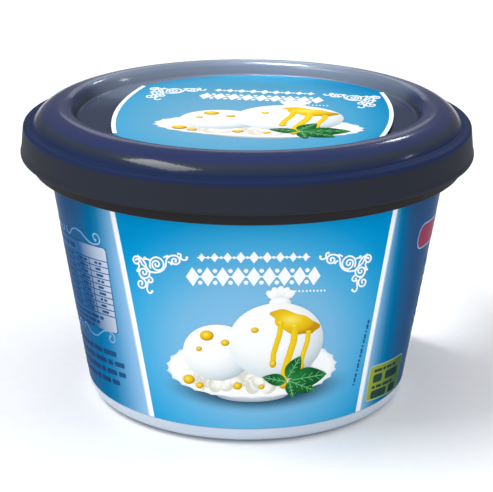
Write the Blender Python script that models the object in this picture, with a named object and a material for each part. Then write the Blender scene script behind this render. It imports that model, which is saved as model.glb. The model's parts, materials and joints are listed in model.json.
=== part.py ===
"""A round tub of fresh cheese, shut by its press-on lid.

Four pieces: the filled tub, the printed sleeve round its wall, the lid, and the printed
label in the lid's recess. All but the label are turned shapes about the Z axis. The origin
is the centre of the base, +Z is up and -Y faces the front panel of the print.
"""

import math

import bmesh
import bpy

MM = 0.001

# Driving dimensions
LID_DIAMETER = 108.0 * MM
OVERALL_HEIGHT = 71.8 * MM
SEGMENTS = 80
GAP = 0.3 * MM
LABEL_THICKNESS = 0.3 * MM
LID_WALL = 1.3 * MM

# Tub: a wall that tapers to a rounded base, under a rim that the lid presses over
SLEEVE_BOTTOM_HEIGHT = 4.4 * MM
SLEEVE_BOTTOM_RADIUS = 39.2 * MM
WALL_TAPER = math.radians(8.8)
FOOT_RADIUS = 34.5 * MM
FOOT_WIDTH = 2.5 * MM
BASE_LIFT = 0.8 * MM
RIM_RADIUS = 51.2 * MM
RIM_BOTTOM_HEIGHT = 61.4 * MM
RIM_TOP_HEIGHT = 66.2 * MM
SLEEVE_TOP_HEIGHT = 59.1 * MM

# Lid, from the bottom up: lip, skirt with its flange, ledge, crown, recess
LIP_TOP_RADIUS = LID_DIAMETER / 2 - 2.0 * MM
LIP_BOTTOM_RADIUS = LID_DIAMETER / 2 - 2.7 * MM
LIP_BOTTOM_HEIGHT = 57.3 * MM
LIP_INNER_RADIUS = 48.4 * MM
LIP_ROUNDING = 0.6 * MM
FLANGE_RADIUS = LID_DIAMETER / 2
FLANGE_BOTTOM_HEIGHT = 60.3 * MM
FLANGE_TOP_HEIGHT = 62.0 * MM
FLANGE_ROUNDING = 0.4 * MM
SKIRT_BOTTOM_RADIUS = FLANGE_RADIUS - 0.25 * MM
RIDGE_RADIUS = FLANGE_RADIUS - 0.8 * MM
RIDGE_HEIGHT = 67.4 * MM
RIDGE_ROUNDING = 0.7 * MM
CREST_RADIUS = 43.8 * MM
CROWN_OUTER_CURVE = 8.2 * MM
CROWN_INNER_CURVE = 3.1 * MM
CROWN_FOOT_ANGLE = math.radians(31.0)
CROWN_RIM_ANGLE = math.radians(138.0)
RECESS_DEPTH = 3.3 * MM
RECESS_RADIUS = 40.6 * MM
RECESS_ROUNDING = 0.9 * MM

# Label in the recess: a disc cut off by two wide arcs, laid slightly turned and off centre
LABEL_DISC_RADIUS = 38.0 * MM
LABEL_HALF_WIDTH = 33.2 * MM
LABEL_SIDE_CURVE = 95.0 * MM
LABEL_TURN = math.radians(-5.0)
LABEL_OFFSET = 1.6 * MM

# Colours are linear RGB
NAVY_PLASTIC = (0.014, 0.019, 0.046)
MILKY_PLASTIC = (0.62, 0.66, 0.70)
PRINTED_BLUE = (0.03, 0.31, 0.64)


def clear_scene():
    for item in list(bpy.data.objects):
        bpy.data.objects.remove(item, do_unlink=True)


def plastic(name, colour, roughness):
    material = bpy.data.materials.new(name)
    material.use_nodes = True
    shader = material.node_tree.nodes["Principled BSDF"]
    shader.inputs["Base Color"].default_value = (*colour, 1.0)
    shader.inputs["Roughness"].default_value = roughness
    shader.inputs["Metallic"].default_value = 0.0
    return material


def arc(centre, radius, start, end, steps):
    """Points along a round stretch, from one angle to another, both ends included."""
    points = []
    for step in range(steps + 1):
        angle = start + (end - start) * step / steps
        points.append((centre[0] + radius * math.cos(angle), centre[1] + radius * math.sin(angle)))
    return points


def rounded(before, corner, after, radius, steps=4):
    """The arc of the given radius that rounds a corner between two straight stretches."""
    towards_before = math.atan2(before[1] - corner[1], before[0] - corner[0])
    towards_after = math.atan2(after[1] - corner[1], after[0] - corner[0])
    opening = (towards_after - towards_before + math.pi) % math.tau - math.pi
    bisector = towards_before + opening / 2
    reach = radius / math.sin(abs(opening) / 2)
    centre = (corner[0] + reach * math.cos(bisector), corner[1] + reach * math.sin(bisector))
    turn = math.copysign(math.pi - abs(opening), opening)
    middle = bisector + math.pi
    return arc(centre, radius, middle + turn / 2, middle - turn / 2, steps)


def finished(name, bm, material):
    """Makes an object of the mesh, with its faces pointing out and its round parts smooth."""
    bmesh.ops.recalc_face_normals(bm, faces=bm.faces)
    mesh = bpy.data.meshes.new(name)
    bm.to_mesh(mesh)
    bm.free()
    mesh.materials.append(material)
    mesh.shade_smooth()
    mesh.set_sharp_from_angle(angle=math.radians(35.0))
    item = bpy.data.objects.new(name, mesh)
    bpy.context.scene.collection.objects.link(item)
    return item


def turned(name, outline, material, closed=False):
    """Spins an outline of (radius, height) points about the Z axis into a closed solid.

    An open outline starts and ends on the axis; a closed one makes a ring.
    """
    bm = bmesh.new()
    points = [bm.verts.new((radius, 0.0, height)) for radius, height in outline]
    edges = [bm.edges.new(pair) for pair in zip(points, points[1:])]
    if closed:
        edges.append(bm.edges.new((points[-1], points[0])))
    bmesh.ops.spin(
        bm, geom=points + edges, cent=(0.0, 0.0, 0.0), axis=(0.0, 0.0, 1.0),
        angle=math.tau, steps=SEGMENTS, use_merge=False,
    )
    bmesh.ops.remove_doubles(bm, verts=bm.verts, dist=0.001 * MM)
    return finished(name, bm, material)


def wall_radius(height):
    """Outer radius of the printed wall at a height."""
    return SLEEVE_BOTTOM_RADIUS + (height - SLEEVE_BOTTOM_HEIGHT) * math.tan(WALL_TAPER)


def tub(material):
    """The filled tub: solid, with a raised middle under the base and a rim at the top."""
    pocket = LABEL_THICKNESS + GAP
    pocket_bottom = SLEEVE_BOTTOM_HEIGHT - GAP
    pocket_top = SLEEVE_TOP_HEIGHT + GAP
    foot_inner = FOOT_RADIUS - FOOT_WIDTH
    base_width = wall_radius(pocket_bottom) - FOOT_RADIUS
    outline = [
        (0.0, RIM_TOP_HEIGHT),
        (RIM_RADIUS - 2 * GAP, RIM_TOP_HEIGHT),
        (RIM_RADIUS, RIM_TOP_HEIGHT - 2 * GAP),
        (RIM_RADIUS, RIM_BOTTOM_HEIGHT),
        (wall_radius(RIM_BOTTOM_HEIGHT), RIM_BOTTOM_HEIGHT),
        (wall_radius(pocket_top), pocket_top),
        (wall_radius(pocket_top) - pocket, pocket_top),
        (wall_radius(pocket_bottom) - pocket, pocket_bottom),
    ]
    corner_steps = 7
    for step in range(corner_steps + 1):
        angle = math.radians(90.0) * step / corner_steps
        outline.append((
            FOOT_RADIUS + base_width * math.cos(angle),
            pocket_bottom * (1.0 - math.sin(angle)),
        ))
    outline += [
        (foot_inner, 0.0),
        (foot_inner - BASE_LIFT, BASE_LIFT),
        (0.0, BASE_LIFT),
    ]
    return turned("tub", outline, material)


def body_label(material):
    """The printed sleeve: a thin cone round the wall, its top edge inside the lid's lip."""
    outline = [
        (wall_radius(SLEEVE_TOP_HEIGHT), SLEEVE_TOP_HEIGHT),
        (wall_radius(SLEEVE_BOTTOM_HEIGHT), SLEEVE_BOTTOM_HEIGHT),
        (wall_radius(SLEEVE_BOTTOM_HEIGHT) - LABEL_THICKNESS, SLEEVE_BOTTOM_HEIGHT),
        (wall_radius(SLEEVE_TOP_HEIGHT) - LABEL_THICKNESS, SLEEVE_TOP_HEIGHT),
    ]
    return turned("body_label", outline, material, closed=True)


def lid_outside():
    """Outline of the lid's upper side and outside, from the axis to the lip's bottom."""
    floor = OVERALL_HEIGHT - RECESS_DEPTH
    outer_centre = (CREST_RADIUS, OVERALL_HEIGHT - CROWN_OUTER_CURVE)
    inner_centre = (CREST_RADIUS, OVERALL_HEIGHT - CROWN_INNER_CURVE)
    inner_side = arc(inner_centre, CROWN_INNER_CURVE, CROWN_RIM_ANGLE, math.radians(90.0), 4)
    outer_side = arc(outer_centre, CROWN_OUTER_CURVE, math.radians(90.0), CROWN_FOOT_ANGLE, 8)
    recess_corner = (RECESS_RADIUS, floor)
    ridge_corner = (RIDGE_RADIUS, RIDGE_HEIGHT)
    skirt_bottom = (SKIRT_BOTTOM_RADIUS, FLANGE_TOP_HEIGHT)
    flange_top = (FLANGE_RADIUS, (FLANGE_TOP_HEIGHT + FLANGE_BOTTOM_HEIGHT) / 2)
    flange_corner = (FLANGE_RADIUS, FLANGE_BOTTOM_HEIGHT)
    lip_top = (LIP_TOP_RADIUS, FLANGE_BOTTOM_HEIGHT)
    lip_corner = (LIP_BOTTOM_RADIUS, LIP_BOTTOM_HEIGHT)
    lip_inside = (LIP_INNER_RADIUS, LIP_BOTTOM_HEIGHT)
    outline = [(0.0, floor)]
    outline += rounded(outline[0], recess_corner, inner_side[0], RECESS_ROUNDING)
    outline += inner_side + outer_side[1:]
    outline += rounded(outer_side[-1], ridge_corner, skirt_bottom, RIDGE_ROUNDING)
    outline += [skirt_bottom, flange_top]
    outline += rounded(flange_top, flange_corner, lip_top, FLANGE_ROUNDING)
    outline.append(lip_top)
    outline += rounded(lip_top, lip_corner, lip_inside, LIP_ROUNDING)
    return outline


def lid_inside():
    """Outline of the lid's underside, from the lip's bottom back to the axis.

    The lip hooks under the tub's rim, the seat rests on it, and the crown is hollow.
    """
    skirt_inner = RIM_RADIUS + GAP
    seat = RIM_TOP_HEIGHT + GAP
    hollow_centre = (CREST_RADIUS, OVERALL_HEIGHT - CROWN_OUTER_CURVE)
    hollow_curve = CROWN_OUTER_CURVE - LID_WALL
    panel_under = OVERALL_HEIGHT - RECESS_DEPTH - LID_WALL
    hollow = arc(hollow_centre, hollow_curve, math.radians(46.0), math.radians(95.0), 5)
    outline = [
        (LIP_INNER_RADIUS, LIP_BOTTOM_HEIGHT),
        (LIP_INNER_RADIUS, RIM_BOTTOM_HEIGHT - GAP),
        (skirt_inner, RIM_BOTTOM_HEIGHT - GAP),
        (skirt_inner, seat),
        (hollow[0][0], seat),
    ]
    outline += hollow
    outline += [
        (RECESS_RADIUS + LID_WALL, panel_under),
        (0.0, panel_under),
    ]
    return outline


def lid(material):
    return turned("lid", lid_outside() + lid_inside(), material)


def lid_label_outline():
    """Counter-clockwise outline of the label: the disc's arcs front and back, wide arcs aside."""
    side_centre = LABEL_HALF_WIDTH - LABEL_SIDE_CURVE
    # where the right side's arc meets the disc
    corner_x = (LABEL_DISC_RADIUS**2 - LABEL_SIDE_CURVE**2 + side_centre**2) / (2 * side_centre)
    corner_y = math.sqrt(LABEL_DISC_RADIUS**2 - corner_x**2)
    side_angle = math.asin(corner_y / LABEL_SIDE_CURVE)
    back_angle = math.atan2(corner_y, corner_x)
    right = arc((side_centre, 0.0), LABEL_SIDE_CURVE, -side_angle, side_angle, 12)
    back = arc((0.0, 0.0), LABEL_DISC_RADIUS, back_angle, math.pi - back_angle, 28)
    half = right + back[1:-1]
    return half + [(-x, -y) for x, y in half]


def lid_label(material):
    """The label's sheet, just above the floor of the recess."""
    bm = bmesh.new()
    height = OVERALL_HEIGHT - RECESS_DEPTH + GAP
    corners = []
    for x, y in lid_label_outline():
        corners.append(bm.verts.new((
            x * math.cos(LABEL_TURN) - y * math.sin(LABEL_TURN) + LABEL_OFFSET,
            x * math.sin(LABEL_TURN) + y * math.cos(LABEL_TURN),
            height,
        )))
    sheet = bm.faces.new(corners)
    raised = bmesh.ops.extrude_face_region(bm, geom=[sheet], use_keep_orig=True)["geom"]
    top = [part for part in raised if isinstance(part, bmesh.types.BMVert)]
    bmesh.ops.translate(bm, verts=top, vec=(0.0, 0.0, LABEL_THICKNESS))
    return finished("lid_label", bm, material)


def main():
    clear_scene()
    navy = plastic("lid_plastic", NAVY_PLASTIC, 0.2)
    milky = plastic("tub_plastic", MILKY_PLASTIC, 0.35)
    print_blue = plastic("label_film", PRINTED_BLUE, 0.3)
    tub(milky)
    body_label(print_blue)
    lid(navy)
    lid_label(print_blue)


main()
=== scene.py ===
"""Looks of a shut round cheese tub: navy lid, printed sleeve, milky base and printed lid label.

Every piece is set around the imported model, which is loaded as a fixed frame. The origin is the
centre of the base, +Z is up and the front panel of the print faces -Y. Lengths are in metres,
but the flat artwork of the print is drawn in millimetres.
"""

import json
import math

import bmesh
import bpy
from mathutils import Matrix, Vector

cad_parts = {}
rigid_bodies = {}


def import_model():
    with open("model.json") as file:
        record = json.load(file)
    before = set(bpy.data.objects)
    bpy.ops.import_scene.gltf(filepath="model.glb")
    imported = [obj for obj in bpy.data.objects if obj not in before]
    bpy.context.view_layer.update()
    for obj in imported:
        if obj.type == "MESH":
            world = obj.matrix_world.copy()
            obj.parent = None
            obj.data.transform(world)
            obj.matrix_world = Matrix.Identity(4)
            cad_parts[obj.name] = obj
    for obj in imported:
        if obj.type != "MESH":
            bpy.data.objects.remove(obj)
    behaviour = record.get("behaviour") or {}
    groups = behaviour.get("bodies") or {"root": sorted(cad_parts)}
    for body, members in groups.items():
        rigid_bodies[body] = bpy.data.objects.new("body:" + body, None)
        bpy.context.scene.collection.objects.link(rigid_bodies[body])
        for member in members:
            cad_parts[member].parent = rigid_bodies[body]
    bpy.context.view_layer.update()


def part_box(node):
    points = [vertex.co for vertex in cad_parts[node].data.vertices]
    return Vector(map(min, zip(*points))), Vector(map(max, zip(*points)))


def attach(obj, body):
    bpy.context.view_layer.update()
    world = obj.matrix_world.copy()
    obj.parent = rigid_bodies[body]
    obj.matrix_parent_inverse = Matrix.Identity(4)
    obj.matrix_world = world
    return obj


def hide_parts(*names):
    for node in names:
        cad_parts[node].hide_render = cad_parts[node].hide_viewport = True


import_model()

bl_info = {
    "name": "Printed Cheese Tub",
    "version": (1, 0, 0),
    "blender": (4, 5, 0),
    "location": "View3D > Sidebar > Cheese Tub",
    "description": "Builds a shut cheese tub with its lid, its printed sleeve and a small studio",
    "category": "Add Mesh",
}

MM = 0.001

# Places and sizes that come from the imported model
TUB_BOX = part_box("tub")
SLEEVE_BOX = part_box("body_label")
LID_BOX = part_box("lid")
LABEL_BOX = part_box("lid_label")
LID_RADIUS = LID_BOX[1].x
TOP = LID_BOX[1].z
LABEL_TOP = LABEL_BOX[1].z
SLEEVE_TOP = SLEEVE_BOX[1].z
SLEEVE_FOOT = SLEEVE_BOX[0].z
WALL_TAPER = math.radians(8.8)
GAP = 0.3 * MM
SLEEVE_THICKNESS = 0.3 * MM
LID_WALL = 1.3 * MM
RIM_DEPTH = 4.8 * MM
FOOT_RADIUS, FOOT_INNER_RADIUS, BASE_LIFT = 34.5 * MM, 32.0 * MM, 0.8 * MM
TURNED_STEPS = 192
SMOOTH_ANGLE = math.radians(32)

# The lid's outer profile: its crown's curves, and its corners in from the edge and down from
# the top. Angles are in degrees.
CROWN_OUTER_CURVE, CROWN_FOOT_ANGLE = 8.2 * MM, 31
CROWN_INNER_CURVE, CROWN_RIM_ANGLE = 3.1 * MM, 138
RECESS_CORNER_INSET = 3.2 * MM
RIDGE_INSET, RIDGE_DROP = 0.8 * MM, 4.4 * MM
SKIRT_FOOT_INSET, SKIRT_FOOT_DROP = 0.25 * MM, 9.8 * MM
FLANGE_TOP_DROP, FLANGE_FOOT_DROP = 10.65 * MM, 11.5 * MM
LIP_TOP_INSET, LIP_FOOT_INSET, LIP_INNER_INSET = 2.0 * MM, 2.7 * MM, 5.6 * MM

# The lid's label: a disc cut off by two wide arcs, laid turned and off centre
LABEL_DISC = 38.0 * MM
LABEL_HALF = 33.2 * MM
LABEL_SIDE_CURVE = 95.0 * MM
LABEL_TURN = -5.0
LABEL_OFFSET = 1.6 * MM
LABEL_LINE_WIDTH, LABEL_LINE_INSET = 1.0 * MM, 0.05 * MM

# The print's panels, in degrees round the wall from -Y towards +X. The front panel lies a
# little to the right and leans; the back one repeats it half a turn further.
PANEL_MIDDLE_TOP = 2.6
PANEL_MIDDLE_FOOT = 4.1
PANEL_HALF_TOP = 41.2
PANEL_HALF_FOOT = 36.8
ART_MIDDLE = 2.0
SIDE_MIDDLE = 93.5
ART_RADIUS = 44.0 * MM
ROW_ARCH = 14.7 * MM
SIDE_FALL = 0.10
BEND_STEP = 1.5 * MM
STRIPE_ROWS = 24

# Ink lies a hair above its film, so that layers never meet
INK_SUNK = 0.02 * MM
INK_THICKNESS = 0.06 * MM
INK_LAYER = 0.03 * MM

# The lid's label repeats the front panel's artwork, stretched away from the viewer and turned:
# its middle on the panel, its middle on the lid, its two scales and its turn
LID_PICTURE = ((0.0, 25.0 * MM), (3.1 * MM, -8.0 * MM), (1.15, 1.20), math.radians(-6))
LID_TITLE = ((0.0, 44.3 * MM), (3.5 * MM, 14.3 * MM), (1.05, 1.34), math.radians(-8))

# Polypropylene film under matt lacquer: so little glare that its colours stay clean
FILM = {"Roughness": 0.24, "IOR": 1.45, "Specular_IOR_Level": 0.002}

# Softboxes: name, bearing from -Y towards +X and height above the horizon in degrees, sides in
# metres, radiance
SOFTBOX_DISTANCE = 2.2
SOFTBOXES = (
    ("key_softbox", -70, 58, (1.15, 0.62), 10.5),
    ("right_softbox", 102, 30, (0.28, 0.12), 14.0),
    ("back_softbox", 159, 35, (0.15, 0.17), 20.0),
    ("rear_softbox", 180, 24, (0.94, 0.54), 1.0),
)

# The camera stands in front of the tub and a little above it, as in the photograph
PHOTO_WIDTH = 493
FOCAL_PIXELS = 1734.6
SENSOR_WIDTH = 36.0
CAMERA_DISTANCE = 424.4 * MM
CAMERA_RISE = math.radians(18.88)
CAMERA_ROLL = math.radians(0.31)
CAMERA_AIM = (-0.05 * MM, 35.3 * MM)

# Kinds of shader node that come up often
MATH = "ShaderNodeMath"
VECTOR_MATH = "ShaderNodeVectorMath"
MAP_RANGE = "ShaderNodeMapRange"
NOISE = "ShaderNodeTexNoise"
RAMP = "ShaderNodeValToRGB"
MIX = "ShaderNodeMix"


def linear(code, alpha=1.0):
    """An sRGB hex code as linear colour."""
    channels = [int(code[start:start + 2], 16) / 255 for start in (0, 2, 4)]
    bent = [c / 12.92 if c <= 0.04045 else ((c + 0.055) / 1.055) ** 2.4 for c in channels]
    return (*bent, alpha)


def wall_radius(height):
    """Outer radius of the printed wall at a height."""
    return SLEEVE_BOX[1].x - (SLEEVE_TOP - height) * math.tan(WALL_TAPER)


def panel_middle(height):
    """Bearing of the front panel's middle at a height, in radians."""
    share = (height - SLEEVE_FOOT) / (SLEEVE_TOP - SLEEVE_FOOT)
    return math.radians(PANEL_MIDDLE_FOOT + share * (PANEL_MIDDLE_TOP - PANEL_MIDDLE_FOOT))


def panel_half(height):
    """Half the front panel's sweep at a height, in radians."""
    share = (height - SLEEVE_FOOT) / (SLEEVE_TOP - SLEEVE_FOOT)
    return math.radians(PANEL_HALF_FOOT + share * (PANEL_HALF_TOP - PANEL_HALF_FOOT))


class TubSizes(bpy.types.PropertyGroup):
    recess_depth: bpy.props.FloatProperty(
        name="Recess Depth", description="Depth of the lid's recess below its crest",
        default=TOP - LABEL_BOX[0].z + GAP, min=0.5 * MM, max=6 * MM, subtype="DISTANCE",
        unit="LENGTH")
    crest_inset: bpy.props.FloatProperty(
        name="Crest Inset", description="From the lid's edge to the crest of its crown",
        default=10.2 * MM, min=5 * MM, max=14 * MM, subtype="DISTANCE", unit="LENGTH")
    stripe_width: bpy.props.FloatProperty(
        name="Stripe Width", description="Width of the white stripes between the panels",
        default=1.3 * MM, min=0.2 * MM, max=4 * MM, subtype="DISTANCE", unit="LENGTH")
    scroll_stroke: bpy.props.FloatProperty(
        name="Scroll Stroke", description="Width of the strokes in the corner scrolls",
        default=0.42 * MM, min=0.1 * MM, max=1 * MM, subtype="DISTANCE", unit="LENGTH")
    dish_width: bpy.props.FloatProperty(
        name="Dish Width", description="Width of the printed dish on the front panel",
        default=43 * MM, min=20 * MM, max=50 * MM, subtype="DISTANCE", unit="LENGTH")


def colour_property(name, description, code):
    return bpy.props.FloatVectorProperty(
        name=name, description=description, size=4, subtype="COLOR", min=0.0, max=1.0,
        default=linear(code))


class TubColours(bpy.types.PropertyGroup):
    lid: colour_property("Lid", "Navy plastic of the lid's crown", "0d1f50")
    # the skirt's near-black is painted shade on the lid's navy plastic, not a colour of its own
    skirt: colour_property("Skirt", "Near-black navy of the lid's skirt", "2a2c31")
    base: colour_property("Base", "Milky plastic of the tub", "b9c7d6")
    panel: colour_property("Panel", "Deepest blue of the front panel", "008ac6")
    glow: colour_property("Glow", "Palest blue behind the dish", "8fc2e4")
    # the side panels' deep blue is the far end of their painted shade
    side: colour_property("Side", "Deep blue of the side panels", "284e79")
    white: colour_property("White Ink", "Stripes, scrolls and borders", "f6f9fb")
    oil: colour_property("Oil", "Golden drops over the cheese", "ebc81e")
    leaf: colour_property("Leaf", "Green of the leaves", "1f6b34")
    tag: colour_property("Tag", "Yellow-green of the weight tag", "9aa53c")
    band: colour_property("Band", "Dull red of the side band", "8f3a55")


# ---------------------------------------------------------------- modelling helpers


def open_piece(name):
    """Adds a mesh object, names it and opens it in edit mode with nothing in it."""
    bpy.ops.object.select_all(action="DESELECT")
    bpy.ops.mesh.primitive_plane_add(size=MM)
    piece = bpy.context.object
    piece.name = piece.data.name = name
    piece.data.uv_layers[0].name = "art"
    bpy.ops.object.mode_set(mode="EDIT")
    bpy.ops.mesh.delete(type="VERT")
    return piece


def close_piece():
    bpy.ops.object.mode_set(mode="OBJECT")


def draw(points):
    """Draws a chain of points, one extrusion after another, and leaves it selected."""
    bpy.ops.mesh.select_all(action="DESELECT")
    bpy.ops.mesh.primitive_plane_add(size=0.01 * MM, location=points[0])
    bpy.ops.mesh.merge(type="CENTER")
    for before, after in zip(points, points[1:]):
        step = [b - a for a, b in zip(before, after)]
        bpy.ops.mesh.extrude_region_move(TRANSFORM_OT_translate={"value": step})
    bpy.ops.mesh.select_linked()


def pick(*pieces):
    """Selects just these pieces, with the first one active."""
    bpy.ops.object.select_all(action="DESELECT")
    for piece in pieces:
        piece.select_set(True)
    bpy.context.view_layer.objects.active = pieces[0]


def apply_modifier(piece, kind, **settings):
    """Adds a modifier to the active piece, sets it and applies it."""
    modifier = piece.modifiers.new(kind.title(), kind)
    for key, value in settings.items():
        setattr(modifier, key, value)
    bpy.ops.object.modifier_apply(modifier=modifier.name)


def cut_to_triangles():
    """Cuts the active piece's faces to triangles, and shades its gentle edges smooth."""
    bpy.ops.object.mode_set(mode="EDIT")
    bpy.ops.mesh.select_all(action="SELECT")
    bpy.ops.mesh.quads_convert_to_tris()
    close_piece()
    bpy.ops.object.shade_smooth_by_angle(angle=SMOOTH_ANGLE)


def turned(name, outline, closed=False):
    """Spins an outline of (radius, height) points about the Z axis into a closed solid.

    An open outline starts and ends on the axis; a closed one makes a ring.
    """
    piece = open_piece(name)
    chain = outline + outline[:1] if closed else outline
    draw([(radius, 0.0, height) for radius, height in chain])
    bpy.ops.mesh.spin(steps=TURNED_STEPS, angle=math.tau, center=(0, 0, 0), axis=(0, 0, 1))
    bpy.ops.mesh.select_all(action="SELECT")
    bpy.ops.mesh.remove_doubles(threshold=0.002 * MM)
    bpy.ops.mesh.normals_make_consistent(inside=False)
    close_piece()
    bpy.ops.object.shade_smooth_by_angle(angle=SMOOTH_ANGLE)
    return piece


def arc(centre, radius, start, end, steps):
    """Points along a round stretch, from one angle to another in degrees, both ends included."""
    turns = [math.radians(start + (end - start) * step / steps) for step in range(steps + 1)]
    return [(centre[0] + radius * math.cos(a), centre[1] + radius * math.sin(a)) for a in turns]


def rounded(before, corner, after, radius, steps=5):
    """The arc of the given radius that rounds a corner between two straight stretches."""
    towards_before = math.atan2(before[1] - corner[1], before[0] - corner[0])
    towards_after = math.atan2(after[1] - corner[1], after[0] - corner[0])
    opening = (towards_after - towards_before + math.pi) % math.tau - math.pi
    bisector = towards_before + opening / 2
    reach = radius / math.sin(abs(opening) / 2)
    centre = (corner[0] + reach * math.cos(bisector), corner[1] + reach * math.sin(bisector))
    turn = math.degrees(math.copysign(math.pi - abs(opening), opening))
    middle = math.degrees(bisector) + 180
    return arc(centre, radius, middle + turn / 2, middle - turn / 2, steps)


# ---------------------------------------------------------------- drawing print in the flat


def select_corners(corners):
    """Selects just these vertices of the mesh in edit mode, with the edges between them."""
    bpy.ops.mesh.select_all(action="DESELECT")
    mesh = bmesh.from_edit_mesh(bpy.context.object.data)
    for corner in corners:
        corner.select = True
    mesh.select_flush(True)
    bmesh.update_edit_mesh(bpy.context.object.data)


def mark_art(centre, reach, turn=0.0):
    """Writes each selected face's place within its shape, -1 to 1 both ways, to the art map.

    The shape's centre and reach are in millimetres.
    """
    mesh = bmesh.from_edit_mesh(bpy.context.object.data)
    layer = mesh.loops.layers.uv["art"]
    cos, sin = math.cos(turn), math.sin(turn)
    for face in mesh.faces:
        if face.select:
            for loop in face.loops:
                x = loop.vert.co.x / MM - centre[0]
                y = loop.vert.co.y / MM - centre[1]
                loop[layer].uv = ((x * cos + y * sin) / reach[0], (y * cos - x * sin) / reach[1])


def fit_shape(x, y, across, up, turn, rounding=0.0):
    """Sizes, rounds and turns the shape that was just added at (x, y), all in millimetres."""
    middle = (x * MM, y * MM, 0.0)
    bpy.ops.transform.resize(value=(across * MM, up * MM, 1.0), center_override=middle)
    if rounding:
        bpy.ops.mesh.bevel(offset=rounding * MM, segments=5, affect="VERTICES")
    # with no window the operator turns clockwise
    bpy.ops.transform.rotate(value=-turn, orient_axis="Z", center_override=middle)


def disc(x, y, across, up, turn=0.0, corners=32, layer=0.0):
    """A flat oval, by its middle and its half sizes in millimetres."""
    bpy.ops.mesh.select_all(action="DESELECT")
    bpy.ops.mesh.primitive_circle_add(vertices=corners, radius=1.0, fill_type="NGON",
                                      location=(x * MM, y * MM, layer * INK_LAYER))
    fit_shape(x, y, across, up, turn)
    mark_art((x, y), (across, up), turn)


def block(x, y, across, up, rounding=0.0, layer=0.0):
    """A flat rectangle with rounded corners, by its middle and half sizes in millimetres."""
    bpy.ops.mesh.select_all(action="DESELECT")
    bpy.ops.mesh.primitive_plane_add(size=2.0, location=(x * MM, y * MM, layer * INK_LAYER))
    fit_shape(x, y, across, up, 0.0, rounding)
    mark_art((x, y), (across, up))


def outlined(points, centre, reach, layer=0.0):
    """A flat shape inside an outline of (x, y) points in millimetres."""
    draw([(x * MM, y * MM, layer * INK_LAYER) for x, y in points])
    bpy.ops.mesh.edge_face_add()
    mark_art(centre, reach)


def ribbon(x, y, heading, width, route, layer=0.0, end_dot=0.0, narrowing=1.0):
    """A flat strip that follows a route of (radius, sweep in degrees) arcs from a point.

    A positive radius turns left and a negative one right; no radius is a straight stretch
    whose sweep is its length. Each arc ends narrower by the given share. Lengths are in
    millimetres. Returns where the route ends.
    """
    bpy.ops.mesh.select_all(action="DESELECT")
    stub = 0.2 * width
    start = (x - stub * math.cos(heading), y - stub * math.sin(heading))
    bpy.ops.mesh.primitive_plane_add(
        size=2.0, location=(start[0] * MM, start[1] * MM, layer * INK_LAYER))
    fit_shape(*start, stub, width / 2, heading)
    mark_art(start, (width, width))
    mesh = bmesh.from_edit_mesh(bpy.context.object.data)
    square = [corner for corner in mesh.verts if corner.select]

    def ahead(corner):
        return corner.co.x * math.cos(heading) + corner.co.y * math.sin(heading)

    select_corners(sorted(square, key=ahead)[-2:])
    for radius, sweep in route:
        if radius is None:
            step = (sweep * math.cos(heading), sweep * math.sin(heading))
            bpy.ops.mesh.extrude_region_move(
                TRANSFORM_OT_translate={"value": (step[0] * MM, step[1] * MM, 0.0)})
            x, y = x + step[0], y + step[1]
            continue
        turn = math.copysign(math.radians(sweep), radius)
        centre = (x - radius * math.sin(heading), y + radius * math.cos(heading))
        # the spin runs clockwise, so the angle is turned round
        bpy.ops.mesh.spin(steps=max(2, round(sweep / 22.5)), angle=-turn,
                          center=(centre[0] * MM, centre[1] * MM, 0.0), axis=(0, 0, 1))
        heading += turn
        x = centre[0] + radius * math.sin(heading)
        y = centre[1] - radius * math.cos(heading)
        bpy.ops.transform.resize(
            value=(narrowing,) * 3, center_override=(x * MM, y * MM, 0.0))
    if end_dot:
        disc(x, y, end_dot, end_dot, corners=14, layer=layer + 0.15)
    return x, y


def face_up():
    """Turns every flat face of the piece in edit mode to face +Z."""
    mesh = bmesh.from_edit_mesh(bpy.context.object.data)
    bpy.ops.mesh.select_all(action="DESELECT")
    mesh.normal_update()
    for face in mesh.faces:
        face.select_set(face.normal.z < 0)
    bmesh.update_edit_mesh(bpy.context.object.data)
    bpy.ops.mesh.flip_normals()


def cut(point, across):
    """Cuts the whole piece in edit mode along a plane, without parting it."""
    bpy.ops.mesh.select_all(action="SELECT")
    bpy.ops.mesh.bisect(plane_co=point, plane_no=across, threshold=1e-7)


def cut_for_bending():
    """Cuts the flat print along upright lines, so that it bends with the wall."""
    mesh = bmesh.from_edit_mesh(bpy.context.object.data)
    places = [corner.co.x for corner in mesh.verts]
    first = math.ceil(min(places) / BEND_STEP)
    last = math.floor(max(places) / BEND_STEP)
    for number in range(first, last + 1):
        cut((number * BEND_STEP, 0.0, 0.0), (1.0, 0.0, 0.0))


def wall_point(azimuth, height, lift):
    """A point that far above the printed wall, at a bearing and a height."""
    radius = wall_radius(height) + (lift - INK_SUNK) / math.cos(WALL_TAPER)
    return radius * math.sin(azimuth), -radius * math.cos(azimuth), height


def on_front(x, y, lift, half_turns=0):
    """Wraps the front panel's artwork round the wall; its rows sink towards the sides."""
    swing = x / ART_RADIUS
    azimuth = math.radians(ART_MIDDLE) + swing + math.pi * half_turns
    return wall_point(azimuth, y - ROW_ARCH * (1 - math.cos(swing)), lift)


def on_back(x, y, lift):
    """The same half a turn further round."""
    return on_front(x, y, lift, half_turns=1)


def on_left(x, y, lift):
    """Wraps a side panel's artwork round the wall; its rows fall away from the front."""
    azimuth = math.radians(SIDE_MIDDLE - 180) + x / ART_RADIUS
    return wall_point(azimuth, y + SIDE_FALL * x, lift)


def on_right(x, y, lift):
    """The same on the other side."""
    azimuth = math.radians(SIDE_MIDDLE) + x / ART_RADIUS
    return wall_point(azimuth, y - SIDE_FALL * x, lift)


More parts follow.
